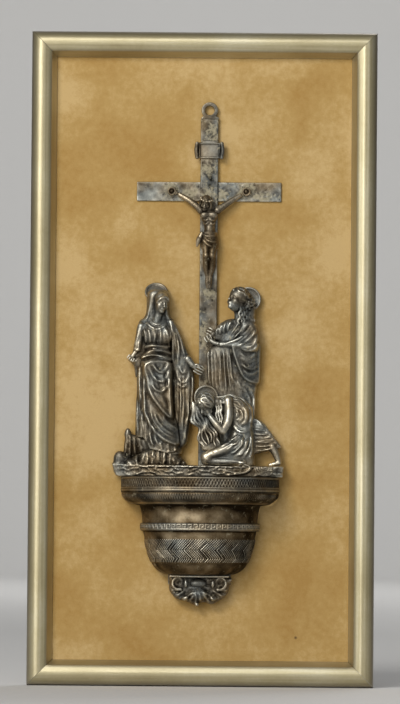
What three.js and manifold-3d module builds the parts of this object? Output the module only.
// A holy water stoup of silvered metal, fixed to a suede-covered panel in a gilt wooden frame.
// Millimetres, +Z up, the front faces -Y. The origin is the middle of the frame's underside, in the
// plane of the suede's face. Depths are measured forward from that plane, so y is minus the depth.
import * as THREE from 'three';
import { mergeVertices } from 'three/addons/utils/BufferGeometryUtils.js';
import Module from 'manifold-3d';

const wasm = await Module();
wasm.setup();

// Clearances
const SEAT = 0.05; // faces that are glued, soldered or pressed together
const LAYER_GAP = 0.3; // castings that overlap in the front view
const RUNNING_GAP = 0.1; // round pins and screws that something turns on

// Frame moulding, measured inward from the outer edge and forward from the suede
const RAIL_WIDTH = 15.5;
const RAIL_SIDE_RISE = 3;
const CROWN_INSET = 6.8;
const CROWN_RISE = 9;
const CREASE_INSET = 12.3;
const CREASE_RISE = 7.6;
const SHOULDER_INSET = 9.8; // where the crown turns down to the crease
const LIP_RISE = 0.8;
const REBATE_WIDTH = 6;
const MITRE_GAP = 0.12;
const V_NAIL_LEG = 4.2;
const V_NAIL_SHEET = 0.6;
const V_NAIL_DEPTH = 6;
const V_NAIL_INSET = 6.6;

// Panel in the rebate, from the front
const SUEDE_THICKNESS = 1;
const PANEL_THICKNESS = 6;
const BACK_BOARD_THICKNESS = 2.5;
const BACK_BOARD_INSET = 0.35;
const PANEL_CLEARANCE = 0.5;

// Bare suede left round the stoup
const MARGIN_TOP = 26.9;
const MARGIN_BOTTOM = 32.5;
const MARGIN_SIDE = 38;

// Hardware on the back
const SCREW_HEAD_RADIUS = 2.6;
const SCREW_HEAD_HEIGHT = 1.6;
const SCREW_SHANK_RADIUS = 1.2;
const SCREW_LENGTH = 7;
const SCREW_SLOT = 0.7;
const BUTTON_REACH = 13;
const BUTTON_WIDTH = 8;
const BUTTON_SHEET = 1.2;
const BUTTON_CORNER_OFFSET = 90; // from the frame's ends to the nearest button
const HANGER_WIDTH = 28;
const HANGER_SHEET = 1;
const HANGER_SCREW_SPACING = 22;
const KNUCKLE_LENGTH = 9;
const KNUCKLE_WALL = 0.8;
const KNUCKLE_LIFT = 0.4; // lets the ring fold up over the plate
const RING_WIRE_RADIUS = 0.9;
const RING_HALF_WIDTH = 6.8;
const RING_DROP = 10.5;
const BUMPER_RADIUS = 4;
const BUMPER_HEIGHT = 3.4;
const BUMPER_INSET = 16;

// Stoup: sheet and layers
const STANDOFF = 0.3; // back of the stoup off the suede
const PLATE_SHEET = 1.2; // back plate and cross beam
const UPRIGHT_SHEET = 1.5;
const STUD_RADIUS = 1.5;
const STUD_HOLE_GAP = 0.2;
const NUT_ACROSS = 5.5;
const NUT_HEIGHT = 2;
const WASHER_RADIUS = 3.8;
const WASHER_SHEET = 0.5;
const NUT_POCKET_RADIUS = 4.5;
const NUT_POCKET_DEPTH = 3;
const BOWL_STUD_SPACING = 40;

// Bowl: half of a turned form, with its height read from the rim downward
const BOWL_X = -0.7;
const BOWL_WALL = 1.2;
const BOWL_PROJECTION = 0.86; // front-to-back radius for each unit of side-to-side radius
const RIM_RADIUS = 47.3;
const RIM_HEIGHT = 9.6;
const OVOLO_RADIUS = 41.6;
const OVOLO_HEIGHT = 6.6;
const NECK_TOP_RADIUS = 37;
const NECK_RADIUS = 35.2;
const NECK_HEIGHT = 11.7;
const KEY_BAND_HEIGHT = 4.9;
const SHOULDER_HEIGHT = 5.3;
const BELLY_RADIUS = 33.6;
const BELLY_HEIGHT = 14.4;
const BASE_RADIUS = 29.2;
const BASE_HEIGHT = 6.7;
const FOOT_RADIUS = 20.6;
const BAND_SHEET = 1.3; // applied bands round the rim and neck

// Pendant under the bowl
const PENDANT_HEIGHT = 20;
const PENDANT_HALF_WIDTH = 18.6;
const VOLUTE_RADIUS = 4.6;
const VOLUTE_OFFSET = 13;

// Ground that the figures stand on
const GROUND_LEFT = 53.8;
const GROUND_RIGHT = 50.7;
const GROUND_HEIGHT = 6.9;
const GROUND_END_DEPTH = 9;
const GROUND_DEPTH = 18;
const BANK_LEFT = -41; // rocky bank before the standing woman's hem
const BANK_RIGHT = -8;
const BANK_BACK = 13.2;

// Cross
const CROSS_OFFSET = 4; // from the bowl's centre line to the cross's
const CROSS_HEIGHT = 212.4; // from the ground to the top of the upright
const UPRIGHT_WIDTH = 10.8;
const UPRIGHT_FOOT = 6.5; // how far the upright runs down behind the ground
const TONGUE_HEIGHT = 30; // back plate's tongue behind the upright, above the ground
const BEAM_LENGTH = 88.5;
const BEAM_HEIGHT = 11.8;
const BEAM_DROP = 44.5; // from the top of the upright to the beam's centre line
const LOOP_RADIUS = 5.5;
const LOOP_HOLE_RADIUS = 2.7;
const LOOP_FOOT_HEIGHT = 1.6;
const LOOP_RISE = 5.2; // from the top of the upright to the loop's centre
const SCROLL_WIDTH = 18.5;
const SCROLL_HEIGHT = 10.4;
const SCROLL_SHEET = 0.7;
const SCROLL_CURL_RADIUS = 1.5;
const SCROLL_DROP = 19.4; // from the top of the upright to the scroll's centre line

// Corpus
const HAND_SPREAD = 22.8; // from the cross's centre line to each nail
const FEET_DROP = 56; // from the hands' nails down to the feet's nail
const NAIL_RADIUS = 0.7;
const NAIL_HEAD_RADIUS = 1.3;
const NAIL_HEAD_HEIGHT = 0.8;
const NAIL_GAP = 0.08;
const HAND_THICKNESS = 2.2;
const FEET_THICKNESS = 4.4;

// Figures
const WOMAN_X = -26.5;
const MAN_X = 20;
const KNEELING_X = 15;
const HALO_SHEET = 0.8;
const WOMAN_HALO_RADIUS = 7;
const WOMAN_HALO_TILT = 35; // degrees back from upright
const WOMAN_HALO_DEPTH = 4.7; // its middle, forward of the suede
const MAN_HALO_RADIUS = 7.5;
const KNEELING_HALO_RADIUS = 7.4;
const MAN_LOWER_DEPTH = 5.4; // relief of the standing man behind the kneeling figure

// Levels, from the frame's underside upward
const PENDANT_BOTTOM = RAIL_WIDTH + MARGIN_BOTTOM;
const BOWL_BOTTOM = PENDANT_BOTTOM + PENDANT_HEIGHT;
const BELLY_BOTTOM = BOWL_BOTTOM + BASE_HEIGHT;
const BELLY_TOP = BELLY_BOTTOM + BELLY_HEIGHT;
const KEY_BAND_BOTTOM = BELLY_TOP + SHOULDER_HEIGHT;
const NECK_BOTTOM = KEY_BAND_BOTTOM + KEY_BAND_HEIGHT;
const OVOLO_BOTTOM = NECK_BOTTOM + NECK_HEIGHT;
const RIM_BOTTOM = OVOLO_BOTTOM + OVOLO_HEIGHT;
const BOWL_TOP = RIM_BOTTOM + RIM_HEIGHT;
const GROUND_BOTTOM = BOWL_TOP + SEAT;
const GROUND_TOP = GROUND_BOTTOM + GROUND_HEIGHT;
const UPRIGHT_TOP = GROUND_TOP + CROSS_HEIGHT;
const LOOP_CENTRE = UPRIGHT_TOP + SEAT + LOOP_RISE;
const FRAME_HEIGHT = LOOP_CENTRE + LOOP_RADIUS + MARGIN_TOP + RAIL_WIDTH;
const FRAME_WIDTH = GROUND_LEFT + GROUND_RIGHT + 2 * MARGIN_SIDE + 2 * RAIL_WIDTH;
const BEAM_CENTRE = UPRIGHT_TOP - BEAM_DROP;
const CROSS_X = BOWL_X + CROSS_OFFSET;

// Depths, forward of the suede; what lies behind it is negative
const PANEL_FRONT = -SUEDE_THICKNESS - SEAT;
const PANEL_BACK = PANEL_FRONT - PANEL_THICKNESS;
const BOARD_FRONT = PANEL_BACK - SEAT;
const BOARD_BACK = BOARD_FRONT - BACK_BOARD_THICKNESS;
const FRAME_BACK = BOARD_BACK - BACK_BOARD_INSET;
const PLATE_FRONT = STANDOFF + PLATE_SHEET;
const UPRIGHT_BACK = PLATE_FRONT + SEAT;
const UPRIGHT_FRONT = UPRIGHT_BACK + UPRIGHT_SHEET;
const FIGURE_BACK = UPRIGHT_FRONT + SEAT;
const KNEELING_BACK = FIGURE_BACK + MAN_LOWER_DEPTH + 2 * LAYER_GAP;
const HALO_LIFT = 0.5; // halo's back in front of its figure's back
const HEAD_LIFT = HALO_LIFT + HALO_SHEET + SEAT;

// Materials
const gilt = new THREE.MeshStandardMaterial({ color: 0xb9a878, roughness: 0.32, metalness: 0.9 });
const suede = new THREE.MeshStandardMaterial({ color: 0xbf924f, roughness: 0.95, metalness: 0 });
const plywood = new THREE.MeshStandardMaterial({ color: 0xb08d5e, roughness: 0.8, metalness: 0 });
const hardboard = new THREE.MeshStandardMaterial({ color: 0x6b4a2e, roughness: 0.85, metalness: 0 });
const silver = new THREE.MeshStandardMaterial({ color: 0x6e675a, roughness: 0.38, metalness: 0.95 });
const steel = new THREE.MeshStandardMaterial({ color: 0x9a9c9e, roughness: 0.35, metalness: 1 });
const brass = new THREE.MeshStandardMaterial({ color: 0xb08f4c, roughness: 0.35, metalness: 1 });
const rubber = new THREE.MeshStandardMaterial({ color: 0x24211f, roughness: 0.9, metalness: 0 });

const FACETS = 12; // sides of a small round piece

// Solids

// A closed geometry as a solid, with its shared vertices merged and empty triangles left out.
function solid(geometry) {
  const bare = geometry.clone();
  for (const attribute of ['normal', 'uv']) bare.deleteAttribute(attribute);
  const merged = mergeVertices(bare, 1e-4);
  const corners = [];
  for (let i = 0; i < merged.index.count; i += 3) {
    const [a, b, c] = [0, 1, 2].map((k) => merged.index.getX(i + k));
    if (a !== b && b !== c && c !== a) corners.push(a, b, c);
  }
  return new wasm.Manifold(
    new wasm.Mesh({
      numProp: 3,
      vertProperties: new Float32Array(merged.attributes.position.array),
      triVerts: new Uint32Array(corners),
    }),
  );
}

function geometryOf(made) {
  const mesh = made.getMesh();
  const geometry = new THREE.BufferGeometry();
  geometry.setAttribute('position', new THREE.BufferAttribute(mesh.vertProperties, mesh.numProp));
  geometry.setIndex(new THREE.BufferAttribute(mesh.triVerts, 1));
  geometry.computeVertexNormals();
  return geometry;
}

const FAR = 400; // beyond every piece
const behind = (depth) => box(-FAR, FAR, -FAR, depth, -FAR, FAR);
const join = (...solids) => solids.reduce((sum, next) => sum.add(next));
const cut = (body, ...tools) => tools.reduce((rest, tool) => rest.subtract(tool), body);

function box(left, right, back, front, bottom, top) {
  const geometry = new THREE.BoxGeometry(right - left, front - back, top - bottom);
  return solid(geometry.translate((left + right) / 2, -(back + front) / 2, (bottom + top) / 2));
}

// A round bar along the depth, from its back to its front.
function rod(x, z, radius, back, front, sides = FACETS) {
  const geometry = new THREE.CylinderGeometry(radius, radius, front - back, sides);
  return solid(geometry.translate(x, -(back + front) / 2, z));
}

const outline = (points) => new THREE.Shape(points.map(([x, y]) => new THREE.Vector2(x, y)));

// An outline drawn in x and z, as a plate between two depths.
function plate(shape, back, front, curveSegments = 8) {
  const depth = front - back;
  const geometry = new THREE.ExtrudeGeometry(shape, { depth, bevelEnabled: false, curveSegments });
  return solid(geometry.rotateX(Math.PI / 2).translate(0, -back, 0));
}

// An outline drawn in plan, with depth upward on the drawing, as a block between two heights.
function block(shape, bottom, top) {
  const geometry = new THREE.ExtrudeGeometry(shape, {
    depth: top - bottom,
    bevelEnabled: false,
    curveSegments: 8,
  });
  const mirrored = solid(geometry).scale([1, -1, 1]);
  return mirrored.translate([0, 0, bottom]);
}

// A profile of radius and height turned about a vertical axis.
function turned(profile, sides) {
  const geometry = new THREE.LatheGeometry(
    profile.map(([radius, height]) => new THREE.Vector2(radius, height)),
    sides,
  );
  return solid(geometry.rotateX(Math.PI / 2));
}

// Rings of equal length, joined in order and closed at both ends on the rings' middles.
function skin(rings) {
  const count = rings[0].length;
  const middle = (ring) => [0, 1, 2].map((k) => ring.reduce((sum, p) => sum + p[k], 0) / count);
  const points = [...rings.flat(), middle(rings[0]), middle(rings[rings.length - 1])];
  const first = rings.length * count;
  const corners = [];
  for (let i = 0; i < count; i++) {
    const next = (i + 1) % count;
    corners.push(first, next, i);
    corners.push(first + 1, first - count + i, first - count + next);
    for (let j = 0; j + 1 < rings.length; j++) {
      const [low, high] = [j * count, (j + 1) * count];
      corners.push(low + i, low + next, high + next, low + i, high + next, high + i);
    }
  }
  const geometry = new THREE.BufferGeometry();
  geometry.setAttribute('position', new THREE.Float32BufferAttribute(points.flat(), 3));
  geometry.setIndex(corners);
  return solid(geometry);
}

// Distance in the front view from a place to a line through points of x and height.
function lineDistance(path, x, z) {
  const place = new THREE.Vector3(x, z, 0);
  const nearest = new THREE.Vector3();
  let distance = Infinity;
  for (let i = 0; i + 1 < path.length; i++) {
    const [from, to] = [path[i], path[i + 1]].map(([px, pz]) => new THREE.Vector3(px, pz, 0));
    new THREE.Line3(from, to).closestPointToPoint(place, true, nearest);
    distance = Math.min(distance, nearest.distanceTo(place));
  }
  return distance;
}

// A rounded relief on a flat back. Each row is height, left edge, right edge and depth; the rows are
// joined by a smooth curve. Folds are upright flutes that die away at the height where they start;
// ridges are gathered folds of cloth along drawn lines, each with its rise and its width.
function relief(rows, { back, across = 12, along = 8, folds, ridges = [] }) {
  const curves = [1, 2, 3].map((k) => {
    const points = rows.map((row) => new THREE.Vector3(row[0], row[k], 0));
    return new THREE.CatmullRomCurve3(points, false, 'centripetal');
  });
  const gathered = (x, z) =>
    ridges
      .map(({ path, rise, width }) => rise * Math.exp(-((lineDistance(path, x, z) / width) ** 2)))
      .reduce((most, next) => Math.max(most, next), 0);
  const rings = [];
  for (let j = 0; j <= along; j++) {
    const [left, right, depth] = curves.map((curve) => curve.getPoint(j / along));
    const below = folds ? folds.from - left.x : 0;
    const fade = folds ? THREE.MathUtils.smoothstep(below, 0, folds.from - rows[0][0]) : 0;
    const ring = [];
    for (let i = 0; i <= across; i++) {
      const turn = (Math.PI * i) / across;
      const rise = Math.sin(turn) ** 0.75;
      const wave = folds ? folds.rise * Math.cos(2 * folds.count * turn + folds.lean) : 0;
      const x = (left.y + right.y) / 2 - ((right.y - left.y) / 2) * Math.cos(turn);
      const dressed = depth.y + fade * wave + gathered(x, left.x);
      ring.push([x, -(back + rise * dressed), left.x]);
    }
    rings.push(ring);
  }
  return skin(rings);
}

// Lines of ridges that share one rise and width.
const gather = (rise, width, ...paths) => paths.map((path) => ({ path, rise, width }));

// A round limb through points of x, depth, height and radius, with rounded ends.
function limb(joints, sides = 6) {
  const places = joints.map(([x, depth, z]) => new THREE.Vector3(x, -depth, z));
  const heading = (i) =>
    places[Math.min(i + 1, places.length - 1)]
      .clone()
      .sub(places[Math.max(i - 1, 0)])
      .normalize();
  const side = new THREE.Vector3(0, 1, 0);
  const ringAt = (centre, along, radius) => {
    const u = new THREE.Vector3().crossVectors(side, along).normalize();
    const v = new THREE.Vector3().crossVectors(along, u);
    return Array.from({ length: sides }, (_, k) => {
      const turn = (2 * Math.PI * k) / sides;
      const point = centre.clone().addScaledVector(u, radius * Math.cos(turn));
      return point.addScaledVector(v, radius * Math.sin(turn)).toArray();
    });
  };
  const capped = (i, outward) => {
    const along = heading(i);
    const radius = joints[i][3];
    const centre = places[i].clone().addScaledVector(along, outward * radius * 0.7);
    return ringAt(centre, along, radius * 0.7);
  };
  const last = joints.length - 1;
  const rings = joints.map(([, , , radius], i) => ringAt(places[i], heading(i), radius));
  return skin([capped(0, -1), ...rings, capped(last, 1)]);
}

function ball([x, depth, z], [across, deep, tall], sides = 10) {
  const sphere = new THREE.SphereGeometry(1, sides, Math.round(sides * 0.6)).rotateX(Math.PI / 2);
  return solid(sphere.scale(across, deep, tall).translate(x, -depth, z));
}

// A round wire along a closed plane path of x and z at one depth, mitred at its corners.
function wireLoop(path, depth, radius, sides = 6) {
  const at = (i) => new THREE.Vector2(...path[(i + path.length) % path.length]);
  const rings = path.map((_, i) => {
    const before = at(i).sub(at(i - 1)).normalize();
    const after = at(i + 1).sub(at(i)).normalize();
    const along = before.clone().add(after).normalize();
    const reach = radius / along.dot(after);
    return Array.from({ length: sides }, (_, k) => {
      const turn = (2 * Math.PI * k) / sides;
      const out = reach * Math.cos(turn);
      const [x, z] = path[i];
      return [x + along.y * out, -depth - radius * Math.sin(turn), z - along.x * out];
    });
  });
  const corners = [];
  rings.forEach((_, j) => {
    const next = (j + 1) % rings.length;
    for (let k = 0; k < sides; k++) {
      const [a, b] = [j * sides + k, j * sides + ((k + 1) % sides)];
      const [c, d] = [next * sides + k, next * sides + ((k + 1) % sides)];
      corners.push(a, d, b, a, c, d);
    }
  });
  const geometry = new THREE.BufferGeometry();
  geometry.setAttribute('position', new THREE.Float32BufferAttribute(rings.flat(2), 3));
  geometry.setIndex(corners);
  return solid(geometry);
}

const part = new THREE.Group();

function piece(name, made, material, parent = part) {
  const mesh = new THREE.Mesh(made.isBufferGeometry ? made : geometryOf(made), material);
  mesh.name = name;
  parent.add(mesh);
  return mesh;
}

// Frame: four mitred rails, pinned across their corners at the back

function railProfile() {
  const shape = new THREE.Shape();
  shape.moveTo(0, FRAME_BACK);
  shape.lineTo(0, RAIL_SIDE_RISE);
  shape.absellipse(
    CROWN_INSET, RAIL_SIDE_RISE, CROWN_INSET, CROWN_RISE - RAIL_SIDE_RISE, Math.PI, Math.PI / 2, true
  );
  shape.quadraticCurveTo(SHOULDER_INSET, CROWN_RISE, CREASE_INSET, CREASE_RISE);
  shape.lineTo(RAIL_WIDTH, LIP_RISE);
  shape.lineTo(RAIL_WIDTH, SEAT);
  shape.lineTo(RAIL_WIDTH - REBATE_WIDTH, SEAT);
  shape.lineTo(RAIL_WIDTH - REBATE_WIDTH, FRAME_BACK);
  return shape;
}

// A rail along x with its outer side on z = 0: the profile is drawn out and its ends are mitred.
function railSolid(length) {
  const geometry = new THREE.ExtrudeGeometry(railProfile(), {
    depth: 1,
    bevelEnabled: false,
    curveSegments: 6,
  });
  const place = geometry.attributes.position;
  for (let i = 0; i < place.count; i++) {
    const [inward, depth, end] = [place.getX(i), place.getY(i), place.getZ(i)];
    place.setXYZ(i, (2 * end - 1) * (length / 2 - inward - MITRE_GAP), -depth, inward);
  }
  return solid(geometry);
}

// An angle of sheet driven into the back of a mitre; it lies at the left end of a rail along x.
function vNail(length, grow) {
  const vertex = V_NAIL_INSET + V_NAIL_SHEET / 2 + grow;
  const tail = V_NAIL_INSET - V_NAIL_LEG - grow;
  const inner = vertex - V_NAIL_SHEET - 2 * grow;
  const leg = [[vertex, vertex], [tail, vertex], [tail, inner], [inner, inner]];
  const angle = [...leg, [inner, tail], [vertex, tail]];
  const shape = outline(angle.map(([x, z]) => [x - length / 2, z]));
  return plate(shape, FRAME_BACK - grow, FRAME_BACK + V_NAIL_DEPTH + grow);
}

const RAIL_LAND = RAIL_WIDTH - REBATE_WIDTH; // flat of the rail's back
const pilotHole = (x, z) =>
  rod(x, z, SCREW_SHANK_RADIUS + SEAT, FRAME_BACK - LAYER_GAP, FRAME_BACK + SCREW_LENGTH + LAYER_GAP);

const SCREW_INSET = RAIL_LAND / 2;

// Each rail: its length, its turn about the depth axis, its place, and its screws along the rail.
const pair = (distance) => [-distance, distance];
const buttonScrews = pair(FRAME_HEIGHT / 2 - BUTTON_CORNER_OFFSET);
const hangerScrews = pair(HANGER_SCREW_SPACING / 2);
const [halfWidth, halfHeight, quarterTurn] = [FRAME_WIDTH / 2, FRAME_HEIGHT / 2, Math.PI / 2];
const rails = {
  bottom: { length: FRAME_WIDTH, turn: 0, place: [0, 0], screws: [] },
  right: {
    length: FRAME_HEIGHT,
    turn: -quarterTurn,
    place: [halfWidth, halfHeight],
    screws: buttonScrews,
  },
  top: { length: FRAME_WIDTH, turn: Math.PI, place: [0, FRAME_HEIGHT], screws: hangerScrews },
  left: {
    length: FRAME_HEIGHT,
    turn: quarterTurn,
    place: [-halfWidth, halfHeight],
    screws: buttonScrews,
  },
};

for (const [side, { length, turn, place, screws }] of Object.entries(rails)) {
  const holder = new THREE.Group();
  holder.position.set(place[0], 0, place[1]);
  holder.rotation.y = turn;
  part.add(holder);
  const slot = vNail(length, SEAT);
  const holes = screws.map((x) => pilotHole(x, SCREW_INSET));
  const body = cut(railSolid(length), slot, slot.mirror([1, 0, 0]), ...holes);
  piece('frame_rail_' + side, body, gilt, holder);
  piece('corner_v_nail_' + side, vNail(length, 0), steel, holder);
}

// Panel: suede stretched over a board, with a back board behind, all in the rebate

const OPENING_WIDTH = FRAME_WIDTH - 2 * RAIL_LAND;
const OPENING_HEIGHT = FRAME_HEIGHT - 2 * RAIL_LAND;
const studs = [
  [CROSS_X, BEAM_CENTRE],
  [BOWL_X - BOWL_STUD_SPACING / 2, NECK_BOTTOM],
  [BOWL_X + BOWL_STUD_SPACING / 2, NECK_BOTTOM],
];

function inRebate(inset, back, front) {
  const half = OPENING_WIDTH / 2 - PANEL_CLEARANCE - inset;
  const ends = RAIL_LAND + PANEL_CLEARANCE + inset;
  return box(-half, half, back, front, ends, FRAME_HEIGHT - ends);
}

const studHoles = studs.map(([x, z]) =>
  rod(x, z, STUD_RADIUS + STUD_HOLE_GAP, PANEL_BACK - SEAT, SEAT),
);
const POCKET_FLOOR = PANEL_BACK + NUT_POCKET_DEPTH;
const nutPockets = studs.map(([x, z]) =>
  rod(x, z, NUT_POCKET_RADIUS, PANEL_BACK - SEAT, POCKET_FLOOR),
);
const boardSpace = inRebate(SUEDE_THICKNESS, PANEL_BACK - SEAT, PANEL_FRONT + SEAT);
const boardBlank = inRebate(SUEDE_THICKNESS + SEAT, PANEL_BACK, PANEL_FRONT);
piece('suede_cover', cut(inRebate(0, PANEL_BACK, 0), boardSpace, ...studHoles), suede);
piece('panel_board', cut(boardBlank, ...studHoles, ...nutPockets), plywood);
piece('back_board', inRebate(0, BOARD_BACK, BOARD_FRONT), hardboard);

// Back hardware: turn buttons on screws, a ring hanger and two bumpers

// A slotted round-head screw standing on z = 0 with its shank downward.
function screwGeometry(under) {
  const profile = [[0, -SCREW_LENGTH]];
  profile.push([SCREW_SHANK_RADIUS * 0.3, -SCREW_LENGTH], [SCREW_SHANK_RADIUS, 1.5 - SCREW_LENGTH]);
  profile.push([SCREW_SHANK_RADIUS, under], [SCREW_HEAD_RADIUS, under]);
  for (let i = 0; i <= 3; i++) {
    const turn = quarterTurn * (i / 3);
    const [out, up] = [SCREW_HEAD_RADIUS * Math.cos(turn), SCREW_HEAD_HEIGHT * Math.sin(turn)];
    profile.push([out, under + up]);
  }
  const reach = 2 * SCREW_HEAD_RADIUS;
  const floor = under + SCREW_HEAD_HEIGHT * 0.45;
  const slot = box(-reach, reach, -SCREW_SLOT / 2, SCREW_SLOT / 2, floor, floor + reach);
  return geometryOf(cut(turned(profile, 8), slot));
}

function screw(name, x, z, under, parent) {
  const mesh = piece(name, screwGeometry(under), brass, parent);
  mesh.position.set(x, -FRAME_BACK, z);
  mesh.rotation.x = -Math.PI / 2;
}

// A flat button that turns on its screw and reaches inward over the back board.
function turnButton() {
  const half = BUTTON_WIDTH / 2;
  const shape = new THREE.Shape();
  shape.absarc(0, 0, half, Math.PI, 2 * Math.PI, false);
  shape.absarc(0, BUTTON_REACH - half, half, 0, Math.PI, false);
  const hole = rod(0, 0, SCREW_SHANK_RADIUS + RUNNING_GAP, -BUTTON_SHEET, 2 * BUTTON_SHEET);
  return cut(plate(shape, 0, BUTTON_SHEET, 5), hole);
}

for (const side of ['left', 'right']) {
  const { turn, place, screws } = rails[side];
  screws.forEach((along) => {
    const holder = new THREE.Group();
    holder.position.set(place[0], 0, place[1]);
    holder.rotation.y = turn;
    part.add(holder);
    const level = along * Math.sin(-turn) > 0 ? 'upper' : 'lower';
    const button = piece(`turn_button_${side}_${level}`, turnButton(), brass, holder);
    button.position.set(along, -FRAME_BACK + BUTTON_SHEET + SEAT, SCREW_INSET);
    const under = BUTTON_SHEET + 2 * SEAT;
    screw(`turn_button_screw_${side}_${level}`, along, SCREW_INSET, under, holder);
  });
}

const HANGER_Z = FRAME_HEIGHT - SCREW_INSET;
const KNUCKLE_RADIUS = RING_WIRE_RADIUS + RUNNING_GAP + KNUCKLE_WALL;
const KNUCKLE_DEPTH = FRAME_BACK - SEAT - KNUCKLE_RADIUS - KNUCKLE_LIFT;
const KNUCKLE_Z = HANGER_Z - SCREW_HEAD_RADIUS - KNUCKLE_RADIUS / 2;

function acrossRod(length, radius, depth, z) {
  const geometry = new THREE.CylinderGeometry(radius, radius, length, FACETS).rotateZ(Math.PI / 2);
  return solid(geometry.translate(0, -depth, z));
}

function hangerPlate() {
  const half = HANGER_WIDTH / 2;
  const top = HANGER_Z + SCREW_HEAD_RADIUS;
  const back = FRAME_BACK - SEAT - HANGER_SHEET;
  const front = FRAME_BACK - SEAT;
  const hole = SCREW_SHANK_RADIUS + RUNNING_GAP;
  const holes = hangerScrews.map((x) => rod(x, HANGER_Z, hole, back - SEAT, FRAME_BACK));
  const leaf = box(-half, half, back, front, HANGER_Z - SCREW_HEAD_RADIUS, top);
  const strap = box(-KNUCKLE_LENGTH / 2, KNUCKLE_LENGTH / 2, back, front, KNUCKLE_Z, top);
  const knuckle = acrossRod(KNUCKLE_LENGTH, KNUCKLE_RADIUS, KNUCKLE_DEPTH, KNUCKLE_Z);
  const bore = acrossRod(2 * KNUCKLE_LENGTH, RING_WIRE_RADIUS + RUNNING_GAP, KNUCKLE_DEPTH, KNUCKLE_Z);
  return cut(join(leaf, strap, knuckle), bore, ...holes);
}
piece('hanger_plate', hangerPlate(), brass);
for (const x of hangerScrews) {
  const name = x < 0 ? 'hanger_screw_left' : 'hanger_screw_right';
  screw(name, x, HANGER_Z, HANGER_SHEET + 2 * SEAT, part);
}

// The ring hangs from its bar in the knuckle: a straight bar closed by half an oval.
const ringPath = Array.from({ length: 13 }, (_, i) => {
  const turn = (Math.PI * i) / 12;
  return [RING_HALF_WIDTH * Math.cos(turn), KNUCKLE_Z - RING_DROP * Math.sin(turn)];
});
piece('hanger_ring', wireLoop(ringPath, KNUCKLE_DEPTH, RING_WIRE_RADIUS), brass);

for (const s of [-1, 1]) {
  const profile = [[0, 0], [BUMPER_RADIUS, 0]];
  profile.push([BUMPER_RADIUS * 0.8, BUMPER_HEIGHT], [0, BUMPER_HEIGHT]);
  const name = s < 0 ? 'bumper_left' : 'bumper_right';
  const bumper = piece(name, geometryOf(turned(profile, 16)), rubber);
  bumper.position.set(s * (FRAME_WIDTH / 2 - BUMPER_INSET), -FRAME_BACK + SEAT, SCREW_INSET);
  bumper.rotation.x = -Math.PI / 2;
}

// Bowl: a thin turned shell, halved and closed behind by a flat plate

// Outer side of the bowl, from the middle of its foot up to the rim.
function bowlProfile(divisions) {
  const path = new THREE.Path();
  path.moveTo(0, BOWL_BOTTOM);
  path.lineTo(FOOT_RADIUS, BOWL_BOTTOM);
  const baseSwell = (FOOT_RADIUS + BASE_RADIUS) / 2 + 2;
  path.quadraticCurveTo(baseSwell, BOWL_BOTTOM + BASE_HEIGHT * 0.3, BASE_RADIUS, BELLY_BOTTOM);
  const bellySwell = BELLY_BOTTOM + BELLY_HEIGHT * 0.45;
  path.quadraticCurveTo(BELLY_RADIUS - 1, bellySwell, BELLY_RADIUS, BELLY_TOP);
  path.lineTo(NECK_RADIUS - 0.6, KEY_BAND_BOTTOM);
  path.lineTo(NECK_RADIUS, NECK_BOTTOM);
  const neckBend = NECK_BOTTOM + NECK_HEIGHT * 0.6;
  path.quadraticCurveTo(NECK_RADIUS + 0.2, neckBend, NECK_TOP_RADIUS, OVOLO_BOTTOM - 1);
  path.lineTo(OVOLO_RADIUS, OVOLO_BOTTOM);
  const ovoloBend = OVOLO_BOTTOM + OVOLO_HEIGHT * 0.25;
  path.quadraticCurveTo(RIM_RADIUS, ovoloBend, RIM_RADIUS + BAND_SHEET * 0.6, RIM_BOTTOM - SEAT);
  path.lineTo(RIM_RADIUS, RIM_BOTTOM - SEAT);
  path.lineTo(RIM_RADIUS, BOWL_TOP);
  return path.getPoints(divisions).map((p) => [p.x, p.y]);
}

// The inner side lies one wall inside the outer, across the slope.
function innerSide(outer, wall) {
  return outer.map(([radius, height], i) => {
    const before = outer[Math.max(i - 1, 0)];
    const after = outer[Math.min(i + 1, outer.length - 1)];
    const slope = new THREE.Vector2(after[0] - before[0], after[1] - before[1]).normalize();
    return [Math.max(radius - wall * slope.y, 0), height + wall * slope.x];
  });
}

// The mouth is straight, so the inner side runs up it at one radius from the ovolo.
const MOUTH_RADIUS = RIM_RADIUS - BOWL_WALL;
function shellProfile() {
  const rimStart = OVOLO_BOTTOM + OVOLO_HEIGHT * 0.8;
  const belowRim = bowlProfile(2).filter(([, height]) => height <= rimStart);
  const inner = innerSide(belowRim, BOWL_WALL).filter(([radius]) => radius < MOUTH_RADIUS);
  const mouth = [[MOUTH_RADIUS, BOWL_TOP], [MOUTH_RADIUS, RIM_BOTTOM]];
  return [...bowlProfile(4), ...mouth, ...inner.slice(1).reverse(), [0, BOWL_BOTTOM + BOWL_WALL]];
}

const BOWL_SIDES = 32;
const BOWL_BACK = PLATE_FRONT + SEAT;

// A form turned about the bowl's axis, drawn out to its projection and halved on the back plate.
function halfTurned(profile) {
  const whole = turned(profile, BOWL_SIDES).scale([1, BOWL_PROJECTION, 1]);
  return cut(whole, behind(0)).translate([BOWL_X, -BOWL_BACK, 0]);
}

piece('bowl_shell', halfTurned(shellProfile()), silver);

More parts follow.
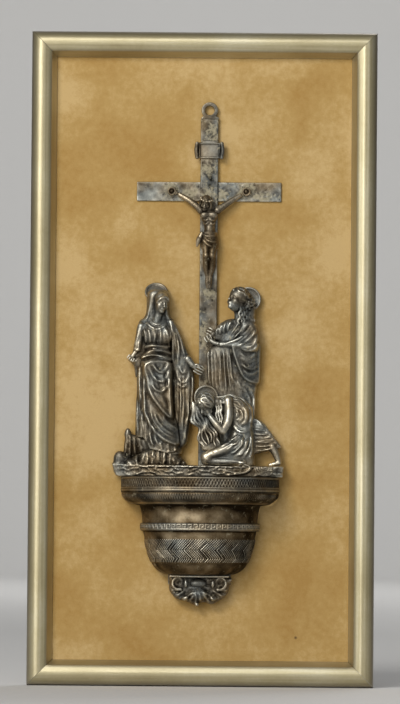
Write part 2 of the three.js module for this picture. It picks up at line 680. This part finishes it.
function rimBand() {
  const inside = RIM_RADIUS + SEAT;
  const outside = RIM_RADIUS + BAND_SHEET;
  const bead = 1.1;
  const profile = [[inside, RIM_BOTTOM], [outside, RIM_BOTTOM], [outside, RIM_BOTTOM + bead]];
  profile.push([outside - 0.5, RIM_BOTTOM + 1.4 * bead], [outside - 0.2, RIM_BOTTOM + 2 * bead]);
  profile.push([outside - 0.2, BOWL_TOP - bead], [outside + 0.1, BOWL_TOP - 0.6 * bead]);
  profile.push([outside, BOWL_TOP], [inside, BOWL_TOP], [inside, RIM_BOTTOM]);
  return profile;
}
piece('rim_band', halfTurned(rimBand()), silver);

function keyBand() {
  const inside = NECK_RADIUS + SEAT;
  const outside = NECK_RADIUS + BAND_SHEET;
  const edge = 0.7;
  const profile = [[inside, KEY_BAND_BOTTOM], [outside - edge, KEY_BAND_BOTTOM]];
  profile.push([outside, KEY_BAND_BOTTOM + edge], [outside, NECK_BOTTOM - edge]);
  profile.push([outside - edge, NECK_BOTTOM], [inside, NECK_BOTTOM], profile[0]);
  return profile;
}
piece('key_band', halfTurned(keyBand()), silver);

// The plate follows the bowl's outline a little inside it, with a tongue up behind the cross.
const PLATE_INSET = 1.5;
const TONGUE_INSET = 0.8;
function backPlate() {
  const bowlSide = bowlProfile(2).filter(([radius]) => radius > 0);
  const right = [
    [0.45 * FOOT_RADIUS, PENDANT_BOTTOM + 0.35 * PENDANT_HEIGHT],
    [FOOT_RADIUS - PLATE_INSET, PENDANT_BOTTOM + 0.7 * PENDANT_HEIGHT],
    ...bowlSide.map(([radius, z]) => [radius - PLATE_INSET, z]),
    [RIM_RADIUS - PLATE_INSET, GROUND_TOP - LAYER_GAP],
  ];
  const shape = outline([
    ...right.map(([x, z]) => [BOWL_X + x, z]),
    ...right.toReversed().map(([x, z]) => [BOWL_X - x, z]),
  ]);
  const half = UPRIGHT_WIDTH / 2 - TONGUE_INSET;
  const [left, end, top] = [CROSS_X - half, CROSS_X + half, GROUND_TOP + TONGUE_HEIGHT];
  const tongue = box(left, end, STANDOFF, PLATE_FRONT, BOWL_TOP, top);
  return join(plate(shape, STANDOFF, PLATE_FRONT), tongue);
}
piece('back_plate', backPlate(), silver);

// Pendant: a leaf between two volutes, ending in a drop
function pendant() {
  const back = PLATE_FRONT + SEAT;
  const at = (share) => PENDANT_BOTTOM + share * (PENDANT_HEIGHT - LAYER_GAP);
  const half = PENDANT_HALF_WIDTH;
  const body = relief(
    [
      [at(0.1), -0.2 * half, 0.2 * half, 4],
      [at(0.17), -0.5 * half, 0.55 * half, 5],
      [at(0.32), -0.78 * half, 0.8 * half, 6.2],
      [at(0.55), -0.97 * half, 0.97 * half, 7],
      [at(0.8), -half, half, 7.6],
      [at(1), -0.94 * half, 0.94 * half, 8.4],
    ],
    { back, across: 14, along: 6, folds: { from: at(0.8), rise: 0.7, count: 4, lean: 0 } },
  );
  const eye = back + 9.2;
  const volutes = pair(VOLUTE_OFFSET).flatMap((x) => [
    rod(x, at(0.7), VOLUTE_RADIUS, back, eye),
    ball([x, eye, at(0.7)], [2, 1.4, 2], 6),
  ]);
  const leaf = ball([0, back + 6, at(0.45)], [5.2, 4.4, 7]);
  const drop = ball([0, back + 3.4, at(0.1)], [2, 2.4, 2], 6);
  const lobes = pair(0.42 * half).map((x) => ball([x, back + 4, at(0.24)], [3.4, 3.4, 3.2], 6));
  const above = box(-FAR, FAR, -FAR, FAR, at(1), FAR);
  const whole = cut(join(body, ...volutes, leaf, drop, ...lobes), behind(back), above);
  return whole.translate([BOWL_X, 0, 0]);
}
piece('pendant_bracket', pendant(), silver);

// Cross: an upright over a beam, with a hanging loop and a rolled scroll

const nails = {
  hand_left: [CROSS_X - HAND_SPREAD, BEAM_CENTRE, STANDOFF, PLATE_FRONT + SEAT + HAND_THICKNESS],
  hand_right: [CROSS_X + HAND_SPREAD, BEAM_CENTRE, STANDOFF, PLATE_FRONT + SEAT + HAND_THICKNESS],
  feet: [CROSS_X, BEAM_CENTRE - FEET_DROP, UPRIGHT_BACK, FIGURE_BACK + FEET_THICKNESS],
};
const nailHoles = Object.values(nails).map(([x, z]) => rod(x, z, NAIL_RADIUS + NAIL_GAP, 0, FAR, 8));

// A slab of the upright's depth and x range, grown on each side, between two heights.
function onUpright(grow, bottom, top, back = UPRIGHT_BACK, front = UPRIGHT_FRONT) {
  const half = UPRIGHT_WIDTH / 2 + grow;
  return box(CROSS_X - half, CROSS_X + half, back, front, bottom, top);
}

const upright = onUpright(0, GROUND_TOP - UPRIGHT_FOOT, UPRIGHT_TOP);
piece('cross_upright', cut(upright, ...nailHoles), silver);

const [beamLeft, beamRight] = pair(BEAM_LENGTH / 2).map((x) => CROSS_X + x);
const [beamBottom, beamTop] = pair(BEAM_HEIGHT / 2).map((z) => BEAM_CENTRE + z);
const beam = box(beamLeft, beamRight, STANDOFF, PLATE_FRONT, beamBottom, beamTop);
piece('cross_beam', cut(beam, ...nailHoles), silver);

// A ring on a foot as wide as the upright; the foot runs up into the ring's sides.
function hangingLoop() {
  const half = UPRIGHT_WIDTH / 2;
  const spring = -0.6;
  const shape = new THREE.Shape();
  shape.moveTo(-half, 0);
  shape.lineTo(half, 0);
  shape.lineTo(half, LOOP_FOOT_HEIGHT);
  shape.absarc(0, LOOP_RISE, LOOP_RADIUS, spring, Math.PI - spring, false);
  shape.lineTo(-half, LOOP_FOOT_HEIGHT);
  shape.holes.push(new THREE.Path().absarc(0, LOOP_RISE, LOOP_HOLE_RADIUS, 0, 2 * Math.PI, true));
  return plate(shape, UPRIGHT_BACK, UPRIGHT_FRONT).translate([CROSS_X, 0, UPRIGHT_TOP + SEAT]);
}
piece('hanging_loop', hangingLoop(), silver);

// The scroll is a strip whose ends roll forward: half of its edge line is drawn and mirrored.
function titleScroll() {
  const back = UPRIGHT_FRONT + SEAT;
  const radius = SCROLL_CURL_RADIUS;
  const straight = SCROLL_WIDTH / 2 - radius;
  const turns = Array.from({ length: 10 }, (_, i) => (Math.PI * 1.55 * i) / 9);
  const onRoll = (turn, reach) => [reach * Math.sin(turn), radius - reach * Math.cos(turn)];
  const roll = (reach) =>
    turns.map((turn) => onRoll(turn, reach)).map(([x, depth]) => [straight + x, back + depth]);
  const right = [...roll(radius), ...roll(radius - SCROLL_SHEET).reverse()];
  const shape = outline([
    ...right.map(([x, depth]) => [CROSS_X + x, depth]),
    ...right.toReversed().map(([x, depth]) => [CROSS_X - x, depth]),
  ]);
  const middle = UPRIGHT_TOP - SCROLL_DROP;
  return block(shape, middle - SCROLL_HEIGHT / 2, middle + SCROLL_HEIGHT / 2);
}
piece('title_scroll', titleScroll(), silver);

// Corpus: arms spread to the beam, body and crossed feet on the upright
function corpus() {
  const [x, z, back] = [CROSS_X, BEAM_CENTRE, FIGURE_BACK];
  const torso = relief(
    [
      [z - 34.5, x - 5.2, x + 5, 5],
      [z - 29, x - 5.2, x + 5.2, 5.4],
      [z - 24, x - 3.7, x + 4, 4.6],
      [z - 17, x - 4.6, x + 5, 6],
      [z - 12.5, x - 5, x + 5.6, 5],
      [z - 9.5, x - 2, x + 2.6, 4],
    ],
    { back, across: 8, along: 7 },
  );
  const feet = z - FEET_DROP;
  const legs = [-1, 1].map((s) =>
    limb([
      [x + s * 2.6, back + 3, z - 31, 2.7],
      [x + s * 2.1, back + 4.2, z - 43, 2],
      [x + s * 1.2, back + 3, feet + 5, 1.4],
      [x + s * 0.6, back + FEET_THICKNESS - 1.6, feet - 3, 1.3],
    ]),
  );
  const sole = ball([x, back + FEET_THICKNESS / 2, feet], [2, FEET_THICKNESS / 2, 4], 6);
  const hand = PLATE_FRONT + SEAT + HAND_THICKNESS / 2;
  const arms = [-1, 1].map((s) => {
    const nail = x + s * HAND_SPREAD;
    const arm = limb([
      [x + s * 5, back + 3, z - 11.2, 1.7],
      [x + s * 13, back + 2, z - 5.2, 1.4],
      [nail - s * 2, hand, z - 1, 0.95],
    ]);
    return join(arm, ball([nail, hand, z], [2.2, HAND_THICKNESS / 2, 1.9], 6));
  });
  const head = ball([x - 1.2, back + 5.4, z - 6.6], [3.2, 3.6, 4.6], 8);
  const hair = ball([x - 0.9, back + 3.6, z - 7.4], [4, 3.2, 5.2], 8);
  const cloth = relief(
    [
      [z - 36, x - 5.4, x + 5.6, 5.6],
      [z - 31, x - 6, x + 5.8, 6.2],
      [z - 27, x - 4.8, x + 4.8, 5.4],
    ],
    { back, across: 10, along: 3, folds: { from: z - 27, rise: 0.5, count: 3, lean: 0.6 } },
  );
  const knot = ball([x - 6.4, back + 2.6, z - 31], [1.9, 2, 3], 6);
  const body = cut(join(torso, ...legs, sole, head, hair, cloth, knot), behind(back));
  const clear = onUpright(LAYER_GAP, -FAR, FAR, -FAR, back);
  return cut(join(body, ...arms), clear, behind(PLATE_FRONT + SEAT), ...nailHoles);
}
piece('corpus', corpus(), silver);

for (const [place, [x, z, back, front]] of Object.entries(nails)) {
  const shank = rod(x, z, NAIL_RADIUS, back, front + SEAT + NAIL_HEAD_HEIGHT / 2, 10);
  const head = cut(
    ball([x, front + SEAT, z], [NAIL_HEAD_RADIUS, NAIL_HEAD_HEIGHT, NAIL_HEAD_RADIUS], 8),
    behind(front + SEAT),
  );
  piece('nail_' + place, join(shank, head), silver);
}

// Ground: a strip over the back of the bowl with a fluted rock at its left end
function ground() {
  const back = PLATE_FRONT + SEAT;
  const [left, right] = [-GROUND_LEFT, GROUND_RIGHT];
  const plan = new THREE.Shape();
  plan.moveTo(left, back);
  plan.lineTo(right, back);
  plan.lineTo(right, GROUND_END_DEPTH);
  const middle = (left + right) / 2;
  plan.bezierCurveTo(right * 0.75, GROUND_DEPTH, right * 0.4, GROUND_DEPTH, middle, GROUND_DEPTH);
  plan.bezierCurveTo(left * 0.4, GROUND_DEPTH, left * 0.75, GROUND_DEPTH, left, GROUND_END_DEPTH);
  const strip = block(plan, GROUND_BOTTOM, GROUND_TOP);
  const rock = relief(
    [
      [GROUND_TOP - 2, left + 0.5, left + 12.6, 6.6],
      [GROUND_TOP + 3, left + 0.2, left + 12.8, 6.6],
      [GROUND_TOP + 7.5, left + 2, left + 12.8, 5.8],
      [GROUND_TOP + 11, left + 6, left + 12.8, 5],
      [GROUND_TOP + 17, left + 6.4, left + 12.4, 4],
      [GROUND_TOP + 22.5, left + 8, left + 11, 2.6],
    ],
    { back, across: 10, folds: { from: GROUND_TOP + 22, rise: 0.8, count: 3, lean: 0.4 } },
  );
  const bank = relief(
    [
      [GROUND_TOP - 2, BANK_LEFT - 1, BANK_RIGHT, 2.4],
      [GROUND_TOP + 2.6, BANK_LEFT, BANK_RIGHT - 4, 2.2],
      [GROUND_TOP + 5.4, BANK_LEFT + 0.6, BANK_RIGHT - 12, 1.8],
      [GROUND_TOP + 9, BANK_LEFT + 3, BANK_RIGHT - 22, 1],
    ],
    {
      back: BANK_BACK,
      across: 16,
      along: 4,
      folds: { from: GROUND_TOP + 11, rise: 0.8, count: 5, lean: 0.4 },
    },
  );
  const notchBottom = GROUND_TOP - UPRIGHT_FOOT - LAYER_GAP;
  const notch = onUpright(LAYER_GAP, notchBottom, FAR, 0, UPRIGHT_FRONT + LAYER_GAP);
  return cut(join(strip, rock, bank), notch);
}
piece('ground', ground(), silver);

// Figures: each is drawn about its own foot, with its height above the ground and its depth from its
// own flat back. Halos are discs behind the heads; the standing woman's leans back.

const FOOT = GROUND_TOP + SEAT;

const HALO_PLACES = { woman: [-2, 106], man: [8, 102], kneeling: [-12.4, 41.7] };

const below = box(-FAR, FAR, -FAR, FAR, -FAR, 0);
const limbFrom = (back, joints) => limb(joints.map(([x, depth, z, r]) => [x, back + depth, z, r]));
const ballFrom = (back, [x, depth, z], radii, sides) => ball([x, back + depth, z], radii, sides);

function standingWoman() {
  const back = FIGURE_BACK;
  const gownRows = [
    [0, -9.5, 15, 7.4],
    [9.7, -10.5, 15.4, 8.8],
    [17, -13.5, 13.5, 9.2],
    [33.5, -13.4, 10.5, 9.4],
    [50, -13.1, 9.8, 9.6],
    [57.5, -12.6, 9.6, 9],
    [63, -11, 8.9, 8.2],
    [65.6, -10.9, 9, 10],
    [68.2, -9.9, 8.5, 8.2],
    [71, -9.7, 8.5, 9.6],
    [73.4, -9.4, 8.2, 7.8],
    [78, -10.6, 8.8, 9.6],
    [83.6, -11.6, 9.2, 8.6],
    [87, -10.2, 8.2, 7],
    [89, -6.4, 5.4, 6],
    [93, -3.7, 3.4, 5.6],
  ];
  const overskirt = [
    [[-9.6, 62], [-7.8, 54], [-5, 45], [-0.6, 37], [6.6, 30.4]],
    [[-3.6, 61], [-1.8, 53], [1.6, 46], [6.8, 40.6]],
    [[-8, 34], [-5.6, 25.6], [-0.8, 19], [4.6, 15.2], [10, 13.2]],
  ];
  const gown = relief(gownRows, {
    back,
    across: 20,
    along: 28,
    folds: { from: 62, rise: 0.9, count: 5, lean: 0.8 },
    ridges: gather(2.1, 1.7, ...overskirt),
  });
  const mantle = relief(
    [
      [10.5, 10, 15.8, 4],
      [17, 9, 18, 4.6],
      [33.5, 8, 21.4, 5],
      [50, 7.5, 22.2, 5.2],
      [57, 7, 22, 5.6],
      [64, 6.5, 20.6, 6.4],
      [76, 5, 14.8, 7],
      [87, 3, 9.6, 6.4],
    ],
    { back, across: 10, along: 7, folds: { from: 66, rise: 0.8, count: 3, lean: 0 } },
  );
  const hangingHand = limbFrom(back, [
    [-14.6, 4.2, 66, 2.2],
    [-16, 5, 61.4, 1.6],
    [-15.2, 5, 58.6, 1.2],
  ]);
  const sleeve = relief(
    [
      [57, -14, -8.6, 3.4],
      [60.6, -15.4, -8.4, 4.4],
      [63.4, -18, -8.4, 5],
      [66.4, -17.8, -8.6, 5.2],
      [70, -16, -8.4, 5.4],
      [77, -14.8, -7.6, 6],
      [84.6, -13.2, -6.4, 5.8],
    ],
    { back, across: 8, along: 7, folds: { from: 84, rise: 0.5, count: 2, lean: 0.4 } },
  );
  const reachingHand = limbFrom(back, [
    [18.5, 5, 64.5, 2.4],
    [21.5, 5.4, 61, 1.9],
    [24.4, 5.2, 58, 1.5],
    [27, 4.8, 55.6, 0.9],
  ]);
  const veil = relief(
    [
      [84.5, -10.8, 8.6, 4.8],
      [89, -9, 7, 5.6],
      [94, -7.6, 6.4, 6.2],
      [99, -7.4, 6.2, 6.8],
      [103.5, -6.8, 5.8, 6.8],
      [107, -4.4, 3.6, 5.6],
    ],
    { back, across: 10, along: 5, folds: { from: 104, rise: 0.5, count: 2, lean: 0.4 } },
  );
  const head = ballFrom(back, [0.6, 6.2, 100], [5, 4.8, 7.6]);
  const face = ballFrom(back, [1.6, 8.4, 98.2], [3.5, 3.8, 4.9]);
  const cloth = join(gown, mantle, sleeve, veil);
  const shape = join(cloth, hangingHand, reachingHand, head, face);
  return cut(shape, behind(back), womanHalo(SEAT));
}

function standingMan() {
  const back = FIGURE_BACK;
  const low = MAN_LOWER_DEPTH;
  const robeRows = [
    [7, -6, 27.4, 0.8 * low],
    [12.5, -8, 28, low - 0.6],
    [21, -9, 24.2, low - 0.6],
    [30, -10.5, 14.6, low - 0.6],
    [41.7, -13.4, 13.1, low - 0.6],
    [50, -16, 13.8, low - 0.4],
    [62, -16.5, 14.5, 6.6],
    [70.4, -16.4, 14.9, 7.6],
    [77, -12.5, 14.8, 8.4],
    [83.6, -8.2, 12.7, 7.6],
    [88, -1.6, 9.8, 6],
  ];
  const swags = [
    [[-0.4, 74], [2.8, 68.6], [7.6, 66.4], [13.4, 69.6]],
    [[-1.6, 67], [2, 60.8], [7.4, 58.4], [13.4, 61.4]],
    [[-2, 59], [2, 53], [7.4, 50.6], [13, 53]],
  ];
  const robe = relief(robeRows, {
    back,
    across: 18,
    along: 20,
    folds: { from: 76, rise: 0.55, count: 4, lean: 0.5 },
    ridges: gather(2, 1.7, ...swags),
  });
  const cape = relief(
    [
      [75.4, -11.6, 6, 6.2],
      [78, -13.2, 9.4, 7.6],
      [81.6, -13, 12, 8.2],
      [85.4, -11, 11.8, 7.8],
      [88.2, -7.2, 10.4, 7],
      [90.4, -2.6, 7, 5.8],
    ],
    { back, across: 10, along: 5, folds: { from: 90, rise: 0.7, count: 3, lean: 0.2 } },
  );
  const nearArm = limbFrom(back, [
    [11.5, 5, 80, 3.2],
    [6, 6.6, 76, 3.2],
    [-3, 7, 73.6, 2.6],
    [-11.5, 6.2, 72.8, 1.9],
    [-15.5, 4.8, 75, 1.5],
    [-18.2, 3.2, 78, 1],
  ]);
  const farArm = limbFrom(back, [
    [-4, 4.6, 83, 2.8],
    [-11, 4.6, 81.4, 2.3],
    [-16, 3.4, 81.8, 1.5],
    [-18.6, 2.4, 83, 1],
  ]);
  const shin = limbFrom(back, [
    [24.2, 2.8, 10, 2.2],
    [26.2, 2.8, 4, 1.7],
    [26.6, 3.2, 1.4, 1.4],
  ]);
  const foot = ballFrom(back, [26, 3.6, 1.3], [3.4, 2.4, 1.3], 8);
  const neck = limbFrom(back, [
    [5, 5, 86, 3],
    [3.2, 6, 93, 2.8],
  ]);
  const hair = ballFrom(back, [4.8, 5.6, 101.6], [6.6, 4.8, 6.9], 8);
  const face = ballFrom(back, [-0.2, 7, 100], [5, 4.2, 6], 8);
  const chin = ballFrom(back, [-3, 7.2, 96], [2.2, 2.2, 2.2], 6);
  const locks = [[8.8, 96.4, 3.2], [8.4, 91.4, 2.8]].map(([x, z, size]) =>
    ballFrom(back, [x, 5.4, z], [size, size, size], 6),
  );
  const skull = cut(join(hair, face, chin, ...locks), behind(back + HEAD_LIFT));
  const cloth = join(robe, cape);
  return cut(join(cloth, nearArm, farArm, shin, foot, neck, skull), behind(back), below);
}

function kneelingFigure() {
  const back = KNEELING_BACK;
  const dressRows = [
    [0, -12.5, 17, 6.6],
    [3, -14, 17, 7.6],
    [8, -13.2, 17, 8],
    [14, -6.5, 17, 7.6],
    [20, -4, 16.6, 7],
    [26, -2.5, 16.4, 7],
    [32, -3, 16, 6.8],
    [37, -4.5, 13.6, 6],
    [41, -1, 9.4, 4.4],
  ];
  const shawl = [
    [[4, 39], [9, 37.6], [12.8, 33], [12, 27], [7, 24]],
    [[4.4, 34], [8, 32.4], [8.8, 29], [6, 26.6]],
  ];
  const skirt = [
    [[14, 20], [8, 13.6], [-1, 9.4]],
    [[15.6, 18], [11.6, 9], [5, 4]],
  ];
  const dress = relief(dressRows, {
    back,
    across: 16,
    along: 16,
    folds: { from: 24, rise: 0.4, count: 3, lean: 1.2 },
    ridges: gather(1.8, 1.5, ...shawl, ...skirt),
  });
  const thigh = limbFrom(back, [
    [12, 4.6, 13, 4.4],
    [0, 6, 9, 4.2],
    [-10.5, 5.6, 5, 3.2],
  ]);
  const calf = limbFrom(back, [
    [-11, 4.6, 2.8, 2.6],
    [0, 5.6, 2.6, 2.5],
    [9, 5, 2.4, 2],
  ]);
  const upperArm = limbFrom(back, [
    [2.8, 5, 36.5, 3],
    [0.6, 6.8, 28, 2.6],
    [-2.6, 7.4, 20.4, 2.1],
  ]);
  const foreArm = limbFrom(back, [
    [-2.6, 7.4, 20.4, 2.1],
    [-6.6, 7.2, 25.4, 1.8],
    [-10, 6.6, 30, 1.5],
  ]);
  const hair = limbFrom(back, [
    [-13.5, 4.4, 37, 4],
    [-16.4, 3.6, 30, 2.8],
    [-15.6, 3.4, 22, 2.6],
    [-14.6, 3, 15, 2],
  ]);
  const neck = limbFrom(back, [
    [-9, 4.6, 37.6, 2.8],
    [0, 4.4, 38, 3],
  ]);
  const head = cut(ballFrom(back, [-12.4, 5.6, 38.4], [5.8, 5, 6]), behind(back + HEAD_LIFT));
  const [haloX, haloZ] = HALO_PLACES.kneeling;
  const haloSpace = rod(haloX, haloZ, KNEELING_HALO_RADIUS + LAYER_GAP, back, back + HEAD_LIFT);
  const shape = join(dress, thigh, calf, upperArm, foreArm, hair, neck, head);
  return cut(shape, behind(back), haloSpace, below);
}

function halo([x, z], radius, figureBack) {
  const back = figureBack + HALO_LIFT;
  return rod(x, z, radius, back, back + HALO_SHEET, 20);
}

// The standing woman's halo is a plate on the crown of the head that rises toward the panel.
function womanHalo(grow = 0) {
  const half = HALO_SHEET / 2 + grow;
  const [x, z] = HALO_PLACES.woman;
  const level = rod(0, 0, WOMAN_HALO_RADIUS + grow, -half, half, 20);
  return level.rotate([-WOMAN_HALO_TILT, 0, 0]).translate([x, -WOMAN_HALO_DEPTH, z]);
}

function standFigure(label, x, figure, haloDisc) {
  piece(label, figure.translate([x, 0, FOOT]), silver);
  piece(`${label}_halo`, haloDisc.translate([x, 0, FOOT]), silver);
}

const manHalo = halo(HALO_PLACES.man, MAN_HALO_RADIUS, FIGURE_BACK);
const kneelingHalo = halo(HALO_PLACES.kneeling, KNEELING_HALO_RADIUS, KNEELING_BACK);
standFigure('standing_woman', WOMAN_X, standingWoman(), womanHalo());
standFigure('standing_man', MAN_X, standingMan(), manHalo);
standFigure('kneeling_woman', KNEELING_X, kneelingFigure(), kneelingHalo);

// Fixings: studs on the stoup's back, through the panel to washers and nuts in pockets

studs.forEach(([x, z], i) => {
  const label = ['cross', 'bowl_left', 'bowl_right'][i];
  const washerFront = POCKET_FLOOR - SEAT;
  const washerBack = washerFront - WASHER_SHEET;
  const nutFront = washerBack - SEAT;
  const bore = rod(x, z, STUD_RADIUS + SEAT, -FAR, FAR);
  const washer = rod(x, z, WASHER_RADIUS, washerBack, washerFront);
  const hexagon = rod(x, z, NUT_ACROSS / Math.sqrt(3), nutFront - NUT_HEIGHT, nutFront, 6);
  piece(`stud_${label}`, rod(x, z, STUD_RADIUS, PANEL_BACK + LAYER_GAP, STANDOFF - SEAT), brass);
  piece(`washer_${label}`, cut(washer, bore), brass);
  piece(`nut_${label}`, cut(hexagon, bore), brass);
});

export default part;
